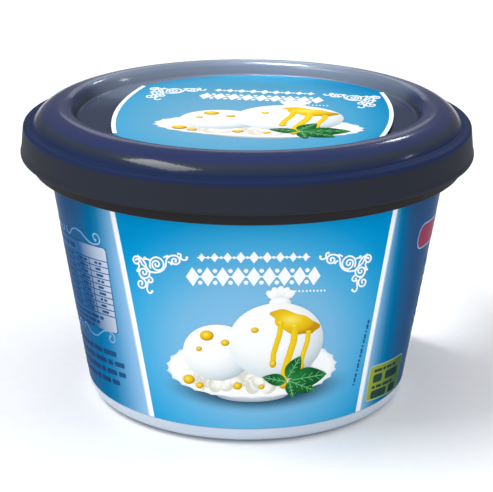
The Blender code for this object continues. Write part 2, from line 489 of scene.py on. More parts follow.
def on_lid(x, y, lift, layout=LID_PICTURE):
    """Lays the front panel's artwork on the lid's label."""
    middle, target, scale, turn = layout
    across, away = (x - middle[0]) * scale[0], (y - middle[1]) * scale[1]
    cos, sin = math.cos(turn), math.sin(turn)
    return (target[0] + across * cos - away * sin, target[1] + across * sin + away * cos,
            LABEL_TOP + lift - INK_SUNK)


def on_label(x, y, lift):
    """Lays artwork that is drawn at its own place on the lid's label."""
    return x, y, LABEL_TOP + lift - INK_SUNK


def on_lid_top(x, y, lift):
    """Lays the artwork's upper rows on the far part of the lid's label."""
    return on_lid(x, y, lift, LID_TITLE)


ALL_PANELS = (on_front, on_back, on_lid)


def write_panel_map(piece):
    """Gives a wall piece its panel map: 0 at a panel's middle, 1 at its stripes, and height."""
    layer = piece.data.uv_layers.get("panel") or piece.data.uv_layers.new(name="panel")
    for face in piece.data.polygons:
        behind = face.center.y > 0
        for corner in face.loop_indices:
            x, y, height = piece.data.vertices[piece.data.loops[corner].vertex_index].co
            azimuth = math.atan2(-x, y) if behind else math.atan2(x, -y)
            share = (azimuth - panel_middle(height)) / panel_half(height)
            layer.data[corner].uv = (share, height / (100 * MM))


def printed(piece, places, material):
    """Finishes flat artwork as thin ink: bends a copy of it to each place and joins them."""
    face_up()
    cut_for_bending()
    close_piece()
    copies = []
    for place in places:
        pick(piece)
        bpy.ops.object.duplicate()
        copies.append(bpy.context.object)
        for corner in copies[-1].data.vertices:
            corner.co = place(*corner.co)
        write_panel_map(copies[-1])
    name = piece.name
    bpy.data.objects.remove(piece, do_unlink=True)
    pick(*copies)
    if len(copies) > 1:
        bpy.ops.object.join()
    layer = bpy.context.object
    layer.name = layer.data.name = name
    apply_modifier(layer, "SOLIDIFY", thickness=INK_THICKNESS, offset=1.0)
    cut_to_triangles()
    dress(layer, material)


def dress(piece, material, node=None):
    """Gives a piece its one material, attaches it to the root body, and hides the model part it
    takes the place of.
    """
    piece.data.materials.clear()
    piece.data.materials.append(material)
    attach(piece, "root")
    if node:
        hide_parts(node)


# ---------------------------------------------------------------- materials


def feed(tree, item, inputs):
    """Fills a node's inputs: links a node or a socket, or sets a value or an sRGB hex code."""
    for socket, value in inputs.items():
        if isinstance(value, bpy.types.Node):
            value = next(output for output in value.outputs if output.enabled)
        if isinstance(value, bpy.types.NodeSocket):
            tree.links.new(value, item.inputs[socket])
        else:
            item.inputs[socket].default_value = linear(value) if isinstance(value, str) else value


def add_node(tree, kind, inputs=None, stops=(), **settings):
    """Adds a shader node, sets it, fills a ramp's stops and fills or links its inputs."""
    item = tree.nodes.new(kind)
    for key, value in settings.items():
        setattr(item, key, value)
    for number, (place, colour) in enumerate(stops):
        ramp = item.color_ramp.elements
        stop = ramp[number] if number < len(ramp) else ramp.new(place)
        stop.position = place
        stop.color = linear(colour) if isinstance(colour, str) else colour
    feed(tree, item, inputs or {})
    return item


def new_material(name, **shader_settings):
    """A material with a Principled shader; returns it, its tree and the shader."""
    material = bpy.data.materials.new(name)
    material.use_nodes = True
    tree = material.node_tree
    shader = tree.nodes["Principled BSDF"]
    for socket, value in shader_settings.items():
        shader.inputs[socket.replace("_", " ")].default_value = value
    return material, tree, shader


def uneven_skin(tree, scale, detail, strength):
    """The slight waviness of a moulded or lacquered surface, up to 0.05 mm deep."""
    place = add_node(tree, "ShaderNodeTexCoord").outputs["Object"]
    waves = add_node(tree, NOISE, {"Vector": place, "Scale": scale, "Detail": detail})
    return add_node(tree, "ShaderNodeBump", {
        "Height": waves, "Strength": strength, "Distance": 0.05 * MM})


def moulded_navy_polypropylene():
    """Injection-moulded polypropylene: glossy, with a fine orange-peel skin from the mould.

    The crown is navy; the skirt and lip below it are painted darker, nearly black, as painted
    shade, and a pale haze of painted highlight lies over the back of the crown's inner slope
    and the recess. Only the crown is polished; the skirt is satin and the recess floor is etched.
    """
    colours = bpy.context.scene.cheese_tub_colours
    material, tree, shader = new_material(
        "moulded_navy_polypropylene", IOR=1.49, Specular_IOR_Level=0.04, Coat_Roughness=0.10,
        Coat_IOR=1.5)
    place = add_node(tree, "ShaderNodeTexCoord").outputs["Object"]
    parts = add_node(tree, "ShaderNodeSeparateXYZ", {0: place}).outputs
    # painted shade by height, in bands: the lip and skirt painted near black, and the ridge
    # and the crown's foot painted darker than the crown
    level = add_node(tree, MAP_RANGE, {
        "Value": parts["Z"], "From Min": TOP - 16 * MM, "From Max": TOP})
    painted_shade_bands = add_node(tree, RAMP, {"Fac": level}, stops=(
        (0.26, "28251f"), (0.30, colours.skirt), (0.66, colours.skirt), (0.69, "1d284a"),
        (0.78, "1b2848"), (0.82, "192434"), (0.875, "172334"), (0.915, colours.lid)))
    # flow of the melt: faint paler clouds about 20 mm across
    clouds = add_node(tree, NOISE, {"Vector": place, "Scale": 50.0, "Detail": 2.0})
    paleness = add_node(tree, MATH, {0: clouds, 1: 0.12}, operation="MULTIPLY")
    flow = add_node(tree, MIX, {"Factor": paleness, "A": painted_shade_bands, "B": "2a3f6c"},
                    data_type="RGBA")
    # a pale haze of painted highlight over the back of the crown's inner slope and the recess,
    # which ends in an uneven edge
    flat_place = add_node(tree, "ShaderNodeCombineXYZ", {"X": parts["X"], "Y": parts["Y"]})
    radius = add_node(tree, VECTOR_MATH, {0: flat_place}, operation="LENGTH")
    inside = add_node(tree, MAP_RANGE, {
        "Value": radius, "From Min": 44.0 * MM, "From Max": 46.5 * MM, "To Min": 1.0,
        "To Max": 0.0}, interpolation_type="SMOOTHSTEP")
    depth = add_node(tree, MATH, {0: clouds, 1: 20 * MM, 2: parts["Y"]},
                     operation="MULTIPLY_ADD")
    behind = add_node(tree, MAP_RANGE, {
        "Value": depth, "From Min": 12 * MM, "From Max": 44 * MM},
        interpolation_type="SMOOTHSTEP")
    share = add_node(tree, MATH, {0: inside, 1: behind}, operation="MULTIPLY")
    # the painted highlight's pale colour, mixed in where the haze lies
    painted_haze = add_node(tree, MIX, {"Factor": share, "A": flow, "B": "727f92"}, data_type="RGBA")
    dullness = add_node(tree, MAP_RANGE, {
        "Value": level, "From Min": 0.70, "From Max": 0.80, "To Min": 0.55, "To Max": 0.30})
    # polish on the crown, down to its foot and in to the edge of the recess floor
    above_foot = add_node(tree, MAP_RANGE, {
        "Value": level, "From Min": 0.76, "From Max": 0.86, "To Max": 0.55})
    off_floor = add_node(tree, MAP_RANGE, {
        "Value": radius, "From Min": 39.8 * MM, "From Max": 40.4 * MM})
    polish = add_node(tree, MATH, {0: above_foot, 1: off_floor}, operation="MULTIPLY")
    # orange peel of about 1 mm, which breaks up the long highlights
    peel = uneven_skin(tree, 1000.0, 2.0, 0.30)
    feed(tree, shader, {
        "Base Color": painted_haze, "Roughness": dullness, "Coat Weight": polish, "Normal": peel,
        "Coat Normal": peel})
    return material


def moulded_milky_polypropylene():
    """Thin natural polypropylene over white cheese: milky, a little see-through, satin gloss."""
    colours = bpy.context.scene.cheese_tub_colours
    material, tree, shader = new_material(
        "moulded_milky_polypropylene", Roughness=0.28, IOR=1.49, Subsurface_Weight=0.35,
        Subsurface_Scale=2 * MM, Subsurface_Radius=(1.0, 1.0, 1.0))
    place = add_node(tree, "ShaderNodeTexCoord").outputs["Object"]
    clouds = add_node(tree, NOISE, {"Vector": place, "Scale": 90.0, "Detail": 3.0})
    milk = add_node(tree, MIX, {"Factor": clouds, "A": colours.base, "B": "ced7e2"},
                    data_type="RGBA")
    feed(tree, shader, {"Base Color": milk, "Normal": uneven_skin(tree, 700.0, 2.0, 0.15)})
    return material


def lacquer(tree, shader, colour):
    """Gives a film its colour, and its lacquer's faint waves about 2 mm across."""
    feed(tree, shader, {"Base Color": colour, "Normal": uneven_skin(tree, 450.0, 1.0, 0.08)})


def panel_place(tree):
    """Reads the panel map: share of the way to the stripes, height, and share beyond them."""
    chart = add_node(tree, "ShaderNodeUVMap", uv_map="panel")
    parts = add_node(tree, "ShaderNodeSeparateXYZ", {0: chart}).outputs
    off_middle = add_node(tree, MATH, {0: parts["X"]}, operation="ABSOLUTE")
    beyond = add_node(tree, MATH, {0: off_middle, 1: 1.0}, operation="SUBTRACT")
    return parts["X"], parts["Y"], beyond


def lacquered_print_film():
    """Printed polypropylene film under clear matt lacquer: flat, clean colour."""
    colours = bpy.context.scene.cheese_tub_colours
    material, tree, shader = new_material("lacquered_print_film", **FILM)
    share, height, beyond = panel_place(tree)
    # front and back panels: a round glow behind the dish. Lengths here are in units of 100 mm
    half = add_node(tree, MATH, {0: height, 1: 0.17, 2: 0.22}, operation="MULTIPLY_ADD")
    across = add_node(tree, MATH, {0: share, 1: half}, operation="MULTIPLY")
    place = add_node(tree, "ShaderNodeCombineXYZ", {"X": across, "Y": height})
    from_glow = add_node(tree, VECTOR_MATH, {0: place, 1: (0.0, 0.255, 0.0)},
                         operation="DISTANCE")
    fading = add_node(tree, MATH, {0: from_glow, 1: 0.42}, operation="DIVIDE")
    glow = add_node(tree, RAMP, {"Fac": fading}, stops=(
        (0.0, colours.glow), (0.40, "74b5db"), (0.55, "52abd7"), (0.68, "32a0d3"),
        (0.80, "0d95ce"), (0.90, "008ec9"), (1.0, colours.panel)))
    # the dish's soft shadow, wider than it is high
    shadow_reach = (0.20, 0.055, 1.0)
    squeezed = add_node(tree, VECTOR_MATH, {0: place, 1: shadow_reach}, operation="DIVIDE")
    from_shadow = add_node(tree, VECTOR_MATH, {0: squeezed, 1: (0.0, 0.145 / 0.055, 0.0)},
                           operation="DISTANCE")
    shadow = add_node(tree, MAP_RANGE, {
        "Value": from_shadow, "From Min": 0.45, "From Max": 1.1, "To Min": 0.9, "To Max": 0.0},
        interpolation_type="SMOOTHSTEP")
    front = add_node(tree, MIX, {"Factor": shadow, "A": glow, "B": "17364a"}, data_type="RGBA")
    # side panels: a painted highlight, pale beside the stripes, then painted shade through a
    # clear blue to a deep one towards each side's middle. The pale part is wider left of the
    # front panel than right of it
    is_left = add_node(tree, MATH, {0: share, 1: 0.0}, operation="LESS_THAN")
    narrow = add_node(tree, MATH, {0: height, 1: -0.47, 2: 0.385}, operation="MULTIPLY_ADD")
    more = add_node(tree, MATH, {0: height, 1: -0.28, 2: 0.295}, operation="MULTIPLY_ADD")
    reach = add_node(tree, MATH, {0: is_left, 1: more, 2: narrow}, operation="MULTIPLY_ADD")
    side_painted_shade = add_node(tree, MATH, {0: beyond, 1: reach}, operation="DIVIDE")
    side_painted_shade = add_node(tree, MATH, {0: side_painted_shade, 1: 2.4}, operation="DIVIDE")
    side = add_node(tree, RAMP, {"Fac": side_painted_shade}, stops=(
        (0.0, "9cc4e4"), (0.10, "7fb1d6"), (0.21, "5094c0"), (0.31, "1b79a9"),
        (0.42, "00699b"), (0.53, "14608f"), (0.66, "245683"), (0.90, colours.side)))
    is_side = add_node(tree, MATH, {0: beyond, 1: 0.0}, operation="GREATER_THAN")
    lacquer(tree, shader, add_node(
        tree, MIX, {"Factor": is_side, "A": front, "B": side}, data_type="RGBA"))
    return material


def lacquered_lid_film():
    """The same film on the lid: the glow of its blue lies towards the front."""
    material, tree, shader = new_material("lacquered_lid_film", **FILM)
    place = add_node(tree, "ShaderNodeTexCoord").outputs["Object"]
    centred = add_node(tree, "ShaderNodeMapping", {
        "Vector": place, "Location": (3.0 * MM, 4.3 * MM, -LABEL_TOP), "Scale": (1.0, 0.72, 1.0)})
    distance = add_node(tree, VECTOR_MATH, {0: centred}, operation="LENGTH")
    fading = add_node(tree, MATH, {0: distance, 1: 50 * MM}, operation="DIVIDE")
    lacquer(tree, shader, add_node(tree, RAMP, {"Fac": fading}, stops=(
        (0.0, "6ca8c6"), (0.26, "69a5c5"), (0.42, "5aa1c4"), (0.56, "499fc8"),
        (0.68, "2a92c1"), (0.80, "0486bc"))))
    return material


def plain_ink(name, colour):
    """Printed ink of one even colour under the same lacquer."""
    material, tree, shader = new_material(name, **FILM)
    lacquer(tree, shader, colour)
    return material


def shaded_ink(name, stops, centre=(0.0, 0.0)):
    """Printed ink under the same lacquer, shaded outwards from a point of each shape."""
    material, tree, shader = new_material(name, **FILM)
    chart = add_node(tree, "ShaderNodeUVMap", uv_map="art")
    distance = add_node(tree, VECTOR_MATH, {0: chart, 1: (*centre, 0.0)}, operation="DISTANCE")
    fading = add_node(tree, MATH, {0: distance, 1: 2.0}, operation="DIVIDE")
    lacquer(tree, shader, add_node(tree, RAMP, {"Fac": fading}, stops=stops))
    return material


def painted_shade_side_ink(name, near, far):
    """Ink on a side panel, darkened away from the white stripes by the same painted shade as its
    film.
    """
    material, tree, shader = new_material(name, **FILM)
    _, _, beyond = panel_place(tree)
    lacquer(tree, shader, add_node(tree, RAMP, {"Fac": beyond}, stops=(
        (0.14, near), (0.54, far))))
    return material


# ---------------------------------------------------------------- the moulded pieces


class TUB_OT_lid(bpy.types.Operator):
    """Turns the lid: recess, crown, ledge, skirt, flange and lip"""

    bl_idname = "cheese_tub.lid"
    bl_label = "Lid"

    def execute(self, context):
        sizes = context.scene.cheese_tub_sizes
        crest = LID_RADIUS - sizes.crest_inset
        floor = TOP - sizes.recess_depth
        inner_side = arc((crest, TOP - CROWN_INNER_CURVE), CROWN_INNER_CURVE,
                         CROWN_RIM_ANGLE, 90, 8)
        outer_side = arc((crest, TOP - CROWN_OUTER_CURVE), CROWN_OUTER_CURVE,
                         90, CROWN_FOOT_ANGLE, 16)
        recess_corner = (crest - RECESS_CORNER_INSET, floor)
        ridge = (LID_RADIUS - RIDGE_INSET, TOP - RIDGE_DROP)
        ledge = (ridge[0] - 1.55 * MM, ridge[1] + 0.12 * MM)
        skirt_foot = (LID_RADIUS - SKIRT_FOOT_INSET, TOP - SKIRT_FOOT_DROP)
        flange_top = (LID_RADIUS, TOP - FLANGE_TOP_DROP)
        flange_foot = (LID_RADIUS, TOP - FLANGE_FOOT_DROP)
        lip_top = (LID_RADIUS - LIP_TOP_INSET, TOP - FLANGE_FOOT_DROP)
        lip_foot = (LID_RADIUS - LIP_FOOT_INSET, LID_BOX[0].z)
        lip_inner = (LID_RADIUS - LIP_INNER_INSET, LID_BOX[0].z)
        outline = [(0.0, floor)]
        outline += rounded(outline[0], recess_corner, inner_side[0], 0.9 * MM, 7)
        outline += inner_side + outer_side[1:]
        outline += rounded(outer_side[-1], ledge, ridge, 0.5 * MM)
        outline += rounded(outer_side[-1], ridge, skirt_foot, 0.7 * MM, 7)
        outline += rounded(ridge, skirt_foot, flange_top, 1.6 * MM, 3)
        outline += rounded(skirt_foot, flange_top, flange_foot, 0.8 * MM, 3)
        outline += rounded(flange_top, flange_foot, lip_top, 0.4 * MM)
        outline += rounded(flange_foot, lip_top, lip_foot, 0.3 * MM, 3)
        outline += rounded(lip_top, lip_foot, lip_inner, 0.6 * MM)
        # underside: the lip hooks under the tub's rim, and the crown is hollow
        rim_foot = TUB_BOX[1].z - RIM_DEPTH - GAP
        seat = TUB_BOX[1].z + GAP
        skirt_inner = TUB_BOX[1].x + GAP
        under_floor = floor - LID_WALL
        outline += [lip_inner, (lip_inner[0], rim_foot), (skirt_inner, rim_foot)]
        outline.append((skirt_inner, seat))
        hollow = arc((crest, TOP - CROWN_OUTER_CURVE), CROWN_OUTER_CURVE - LID_WALL, 46, 95, 8)
        outline.append((hollow[0][0], seat))
        outline += hollow
        outline += [(recess_corner[0] + LID_WALL, under_floor), (0.0, under_floor)]
        piece = turned("navy_lid", outline)
        dress(piece, moulded_navy_polypropylene(), "lid")
        return {"FINISHED"}


class TUB_OT_base(bpy.types.Operator):
    """Turns the milky tub: rim, wall behind the print, rounded base, foot ring and gate mark"""

    bl_idname = "cheese_tub.base"
    bl_label = "Tub"

    def execute(self, context):
        rim = TUB_BOX[1]
        rim_foot = rim.z - RIM_DEPTH
        # the wall steps in behind the sleeve
        pocket = SLEEVE_THICKNESS + GAP
        pocket_top, pocket_foot = SLEEVE_TOP + GAP, SLEEVE_FOOT - 0.06 * MM
        outline = [(0.0, rim.z)]
        outline += rounded((0.0, rim.z), (rim.x, rim.z), (rim.x, rim_foot), 0.6 * MM)
        outline += [(rim.x, rim_foot), (wall_radius(rim_foot), rim_foot),
                    (wall_radius(pocket_top), pocket_top),
                    (wall_radius(pocket_top) - pocket, pocket_top),
                    (wall_radius(pocket_foot) - pocket, pocket_foot)]
        # the base rounds in as a quarter of an oval
        base_width = wall_radius(pocket_foot) - FOOT_RADIUS
        for across, down in arc((0.0, 0.0), 1.0, 0, 90, 18):
            outline.append((FOOT_RADIUS + base_width * across, pocket_foot * (1 - down)))
        middle = FOOT_INNER_RADIUS - BASE_LIFT
        outline += rounded(outline[-1], (FOOT_INNER_RADIUS, 0.0), (middle, BASE_LIFT), 0.3 * MM)
        # on the lifted middle, a shallow ring step and the gate's nub: radius, height above it
        outline += [(radius, BASE_LIFT + height) for radius, height in (
            (middle, 0.0), (24.0 * MM, 0.0), (23.6 * MM, 0.3 * MM), (6.0 * MM, 0.3 * MM),
            (5.6 * MM, 0.0), (1.2 * MM, 0.0), (1.0 * MM, -0.4 * MM), (0.0, -0.4 * MM))]
        piece = turned("milky_tub", outline)
        dress(piece, moulded_milky_polypropylene(), "tub")
        return {"FINISHED"}


class TUB_OT_sleeve(bpy.types.Operator):
    """Turns the printed sleeve round the tub's wall"""

    bl_idname = "cheese_tub.sleeve"
    bl_label = "Sleeve"

    def execute(self, context):
        edge = 0.06 * MM
        top, foot = SLEEVE_TOP, SLEEVE_FOOT
        rows = [foot + (top - foot) * step / 12 for step in range(13)]
        outline = [(wall_radius(height), height) for height in rows]
        outline[0] = (wall_radius(foot + edge), foot + edge)
        outline += [(wall_radius(top) - SLEEVE_THICKNESS, top),
                    (wall_radius(foot) - SLEEVE_THICKNESS, foot),
                    (wall_radius(foot) - edge, foot)]
        piece = turned("printed_sleeve", outline, closed=True)
        write_panel_map(piece)
        dress(piece, lacquered_print_film(), "body_label")
        return {"FINISHED"}


def label_point(x, y):
    """From the label's own axes to the lid: turned a little, and off centre."""
    turn = math.radians(LABEL_TURN)
    return (x * math.cos(turn) - y * math.sin(turn) + LABEL_OFFSET,
            x * math.sin(turn) + y * math.cos(turn))


def label_side():
    """Half sweep of the label's side arc, and where it meets the disc, both in degrees."""
    middle = LABEL_HALF - LABEL_SIDE_CURVE
    corner_x = (LABEL_DISC**2 - LABEL_SIDE_CURVE**2 + middle**2) / (2 * middle)
    corner_y = math.sqrt(LABEL_DISC**2 - corner_x**2)
    return (math.degrees(math.asin(corner_y / LABEL_SIDE_CURVE)),
            math.degrees(math.atan2(corner_y, corner_x)))


class TUB_OT_lid_label(bpy.types.Operator):
    """Lays the blue label in the lid's recess, with a white line along each side"""

    bl_idname = "cheese_tub.lid_label"
    bl_label = "Lid Label"

    def execute(self, context):
        half_sweep, corner = label_side()
        side_centre = (LABEL_HALF - LABEL_SIDE_CURVE, 0.0)
        side = arc(side_centre, LABEL_SIDE_CURVE, -half_sweep, half_sweep, 32)
        back = arc((0.0, 0.0), LABEL_DISC, corner, 180 - corner, 64)
        half = side + back[1:-1]
        loop = [label_point(x, y) for x, y in half + [(-x, -y) for x, y in half]]
        piece = open_piece("lid_label_film")
        draw([(x, y, LABEL_BOX[0].z) for x, y in loop])
        bpy.ops.mesh.edge_face_add()
        bpy.ops.mesh.extrude_region_move(
            TRANSFORM_OT_translate={"value": (0, 0, LABEL_TOP - LABEL_BOX[0].z)})
        bpy.ops.mesh.select_all(action="SELECT")
        bpy.ops.mesh.normals_make_consistent(inside=False)
        close_piece()
        apply_modifier(piece, "BEVEL", width=0.08 * MM, segments=2, limit_method="ANGLE")
        cut_to_triangles()
        dress(piece, lacquered_lid_film(), "lid_label")
        # the white lines run along the label's side arcs, almost on its edge
        line = open_piece("lid_label_lines")
        radius = LABEL_SIDE_CURVE - LABEL_LINE_INSET - LABEL_LINE_WIDTH / 2
        x, y = arc(side_centre, radius, -half_sweep, 0, 1)[0]
        for facing, sign in ((0, 1), (180, -1)):
            heading = math.radians(90 - half_sweep + facing + LABEL_TURN)
            start = label_point(sign * x, sign * y)
            ribbon(start[0] / MM, start[1] / MM, heading, LABEL_LINE_WIDTH / MM,
                   [(radius / MM, half_sweep / 12)] * 24)
        printed(line, [on_label], white_ink())
        return {"FINISHED"}


# ---------------------------------------------------------------- the print


def white_ink():
    """The one white ink of stripes, scrolls and frieze."""
    return bpy.data.materials.get("white_ink") or plain_ink(
        "white_ink", bpy.context.scene.cheese_tub_colours.white)


def beside_panel(x, y, lift, half_turns=0):
    """Stands upright artwork beside a panel's edge: right of it from x = 0 on, and left."""
    edge = panel_middle(y) + math.copysign(panel_half(y), x)
    return wall_point(edge + x / wall_radius(y) + math.pi * half_turns, y, lift)


def beside_back_panel(x, y, lift):
    """The same half a turn further round."""
    return beside_panel(x, y, lift, half_turns=1)


class TUB_OT_stripes(bpy.types.Operator):
    """Prints the four white stripes between the panels, each with a grey line of painted shadow
    beside it
    """

    bl_idname = "cheese_tub.stripes"
    bl_label = "Stripes"

    def execute(self, context):
        width = context.scene.cheese_tub_sizes.stripe_width / MM
        # a hair off the panel's edge, so that each stripe keeps to its own side
        hair = 0.02
        low, high = SLEEVE_FOOT / MM + 0.1, SLEEVE_TOP / MM - 0.1
        for name, start, breadth, layer, material in (
            ("stripes", hair, width, 0.5, white_ink()),
            # a grey line of painted shadow outside each stripe
            ("stripe_painted_shadows", hair + width, 0.35, 0.2, plain_ink("stripe_shadow_ink", "c6d8ea")),
        ):
            piece = open_piece(name)
            for side in (-1, 1):
                block(side * (start + breadth / 2), (low + high) / 2, breadth / 2,
                      (high - low) / 2, layer=layer)
            for row in range(1, STRIPE_ROWS):
                cut((0.0, (low + (high - low) * row / STRIPE_ROWS) * MM, 0.0), (0.0, 1.0, 0.0))
            printed(piece, [beside_panel, beside_back_panel], material)
        return {"FINISHED"}


# The left corner's scrolls: start in mm to the right of and down from the corner, heading in
# degrees, arcs as (radius in mm, sweep in degrees), and the end dot's radius in mm
SCROLLS = (
    # main volute
    (4.75, 3.55, 98, ((-6.0, 9), (-1.72, 180), (-1.5, 90), (-1.35, 90), (-0.98, 90),
                      (-0.8, 90), (-0.6, 90), (-0.4, 110)), 0.28),
    # long sweep under it, into the side arm's volute
    (4.05, 4.35, -22, ((5.0, 22), (3.1, 40), (2.3, 52), (-1.5, 40), (-1.95, 62), (-1.25, 60),
                       (-1.0, 120), (-0.8, 90), (-0.52, 120), (-0.36, 100)), 0.26),
    # the leaf's two edges
    (1.75, 0.65, -22, ((-3.3, 68),), 0.0),
    (1.95, 0.85, -82, ((4.4, 55),), 0.0),
    # corner curl
    (1.95, 1.00, 140, ((0.92, 200), (0.72, 110), (0.46, 150)), 0.26),
    # lower volute and its tail into the lowest curl
    (4.35, 4.25, -70, ((-1.45, 110), (-1.28, 90), (-1.12, 90), (-0.85, 90), (-0.62, 90),
                       (-0.42, 120)), 0.24),
    (1.62, 4.70, -92, ((1.9, 62), (-1.2, 75), (-1.15, 80), (-0.98, 100), (-0.7, 90),
                       (-0.45, 130)), 0.26),
    # hook at the foot
    (3.62, 7.10, -88, ((-2.6, 26), (1.4, 55), (0.62, 130)), 0.32),
    # small curls
    (4.10, 5.70, -10, ((-1.2, 50), (-0.62, 150), (-0.34, 110)), 0.26),
    (1.95, 3.95, 190, ((1.1, 40),), 0.36),
    (1.45, 2.55, -20, ((-0.62, 120), (0.5, 40)), 0.0),
    (4.75, 1.65, 150, ((1.6, 30), (-0.45, 60)), 0.40),
    (8.35, 0.90, 40, ((-0.9, 50),), 0.38),
    (9.35, 2.10, 0, ((-0.7, 60),), 0.38),
    (12.15, 1.00, 60, ((0.9, 50), (0.38, 90)), 0.30),
    (12.20, 1.10, -60, ((0.9, 80), (0.45, 90)), 0.32),
)
SCROLL_CORNER = (27.8, 49.3)


def corner_scroll(mirror):
    """One corner ornament: mirror is 1 for the left corner and -1 for the right one."""
    stroke = bpy.context.scene.cheese_tub_sizes.scroll_stroke / MM
    for number, (right, down, heading, arcs, dot) in enumerate(SCROLLS):
        turn = math.radians(heading if mirror > 0 else 180 - heading)
        route = [(mirror * radius, sweep) for radius, sweep in arcs]
        ribbon(mirror * (right - SCROLL_CORNER[0]), SCROLL_CORNER[1] - down, turn, stroke, route,
               layer=number % 4 * 0.12, end_dot=dot)


class TUB_OT_scrolls(bpy.types.Operator):
    """Prints the traditional corner scrolls in the upper corners of both panels and the lid"""

    bl_idname = "cheese_tub.scrolls"
    bl_label = "Corner Scrolls"

    def execute(self, context):
        piece = open_piece("corner_scrolls")
        corner_scroll(1)
        corner_scroll(-1)
        printed(piece, [on_front, on_back, on_lid_top], white_ink())
        return {"FINISHED"}


class TUB_OT_frieze(bpy.types.Operator):
    """Prints a plain frieze of lozenges and beads above the dish"""

    bl_idname = "cheese_tub.frieze"
    bl_label = "Frieze"

    def execute(self, context):
        piece = open_piece("frieze")
        upper, upper_pitch = 48.4, 2.75
        lower, lower_pitch = 43.7, 3.3
        # upper row: small lozenges and beads on a thin line
        block(0.0, upper, 12.0, 0.13)
        for number in range(-4, 5):
            size = 1.45 - abs(number) * 0.10
            disc(number * upper_pitch, upper, 0.72 * size, size, corners=4, layer=0.4)
            if number < 4:
                disc((number + 0.5) * upper_pitch, upper, 0.34, 0.34, corners=12, layer=0.4)
        # lower row: bold lozenges with beads over and under the points where they meet
        for number in range(-4, 5):
            x = number * lower_pitch
            disc(x, lower, 1.5, 2.35, corners=4, layer=0.2)
            if number < 4:
                for side in (-1, 1):
                    disc(x + lower_pitch / 2, lower + side * 1.45, 0.5, 0.5,
                         corners=14, layer=0.5)
        block(0.0, lower, 14.6, 0.16)
        # a short row of beads at the right, under the bold row
        for number in range(9):
            disc(9.2 + 0.85 * number, 40.0, 0.24, 0.24, corners=12)
        printed(piece, [on_front, on_back, on_lid_top], white_ink())
        # a thin upright row of dashes beside the right stripe
        piece = open_piece("upright_dashes")
        for number in range(14):
            share = number / 13
            length = 0.42 + 0.22 * math.sin(number * 2.3)
            block(29.6 - 2.0 * share, 31.6 - 16.4 * share, 0.30, length)
        printed(piece, [on_front, on_back], plain_ink("navy_ink", "1f5f93"))
        return {"FINISHED"}


class TUB_OT_dish(bpy.types.Operator):
    """Prints the oval dish with its scalloped rim and its foot"""

    bl_idname = "cheese_tub.dish"
    bl_label = "Dish"

    def execute(self, context):
        half = context.scene.cheese_tub_sizes.dish_width / 2 / MM
        piece = open_piece("dish_foot")
        disc(0.0, 13.9, half * 0.42, 2.2, corners=48)
        printed(piece, ALL_PANELS, shaded_ink("dish_foot_ink", (
            (0.0, "dfe4e8"), (0.3, "c3cbd2"), (0.5, "98a5b0"))))
        piece = open_piece("dish")
        middle, flatness = 20.6, 0.37
        scallops, per_scallop = 26, 4
        rim = []
        for number in range(scallops * per_scallop):
            angle = math.tau * number / (scallops * per_scallop)
            wave = 1.0 - 0.035 * abs(math.cos(scallops * angle / 2))
            rim.append((half * wave * math.cos(angle),
                        middle + half * flatness * wave * math.sin(angle)))
        outlined(rim, (0.0, middle), (half, half * flatness), layer=1)
        # a flat middle, its shaded edge, and a pale rim
        printed(piece, ALL_PANELS, shaded_ink("dish_ink", (
            (0.0, "e4e8ea"), (0.29, "f2f4f4"), (0.325, "c9d1d6"), (0.35, "f5f6f6"),
            (0.45, "f9faf9"), (0.485, "e2e7ea"), (0.5, "cdd5da"))))
        return {"FINISHED"}


class TUB_OT_cheese(bpy.types.Operator):
    """Prints the white cheeses: one large tied ball, a smaller one and soft curds"""

    bl_idname = "cheese_tub.cheese"
    bl_label = "Cheese"

    def execute(self, context):
        curds = open_piece("curds")
        for number in range(22):
            share = number / 21
            x = -15.5 + 27.5 * share
            y = 18.1 + 1.5 * math.sin(number * 2.4) - 1.2 * math.sin(math.pi * share)
            size = 1.9 + 0.5 * math.sin(number * 1.7)
            disc(x, y, size, size * 0.78, turn=number * 0.9, corners=16,
                 layer=2.1 + 0.12 * (number % 7))
        printed(curds, ALL_PANELS, shaded_ink("curd_ink", (
            (0.0, "fbfaf4"), (0.3, "f1efe3"), (0.5, "d6d5c8")), centre=(-0.3, 0.35)))
        balls = open_piece("cheese_balls")
        disc(-8.2, 24.6, 8.4, 7.2, corners=56, layer=3.2)
        disc(5.6, 27.4, 11.2, 9.8, corners=64, layer=4)
        # the tied top: a gathered neck and its frill
        neck = 5.9
        disc(neck, 37.2, 2.5, 1.3, corners=24, layer=3)
        for number in range(5):
            turn = math.radians(-52 + 26 * number)
            disc(neck + 2.2 * math.sin(turn), 38.0 + 1.7 * math.cos(turn),
                 0.95, 1.7, turn=-turn, corners=18, layer=2.2 + 0.14 * number)
        printed(balls, ALL_PANELS, shaded_ink("cheese_ink", (
            (0.0, "fdfdfb"), (0.35, "f4f6f4"), (0.5, "e6ecec"), (0.62, "d3dde0"),
            (0.72, "b4c2c8")), centre=(-0.3, 0.38)))
        return {"FINISHED"}


# Oil, in mm: each run's start, length and width, and each drop's place and half height
OIL_RUNS = ((6.2, 32.0, 5.2, 1.3), (9.6, 31.0, 7.4, 1.6), (12.9, 29.6, 4.4, 1.2))
OIL_DROPS = (
    (-10.6, 29.0, 1.3), (-6.4, 27.2, 0.8), (-12.6, 25.6, 0.6), (0.4, 30.4, 0.7),
    (-15.6, 17.6, 1.2), (-12.9, 16.1, 0.8), (-3.6, 16.0, 0.9), (2.2, 15.7, 0.6),
)


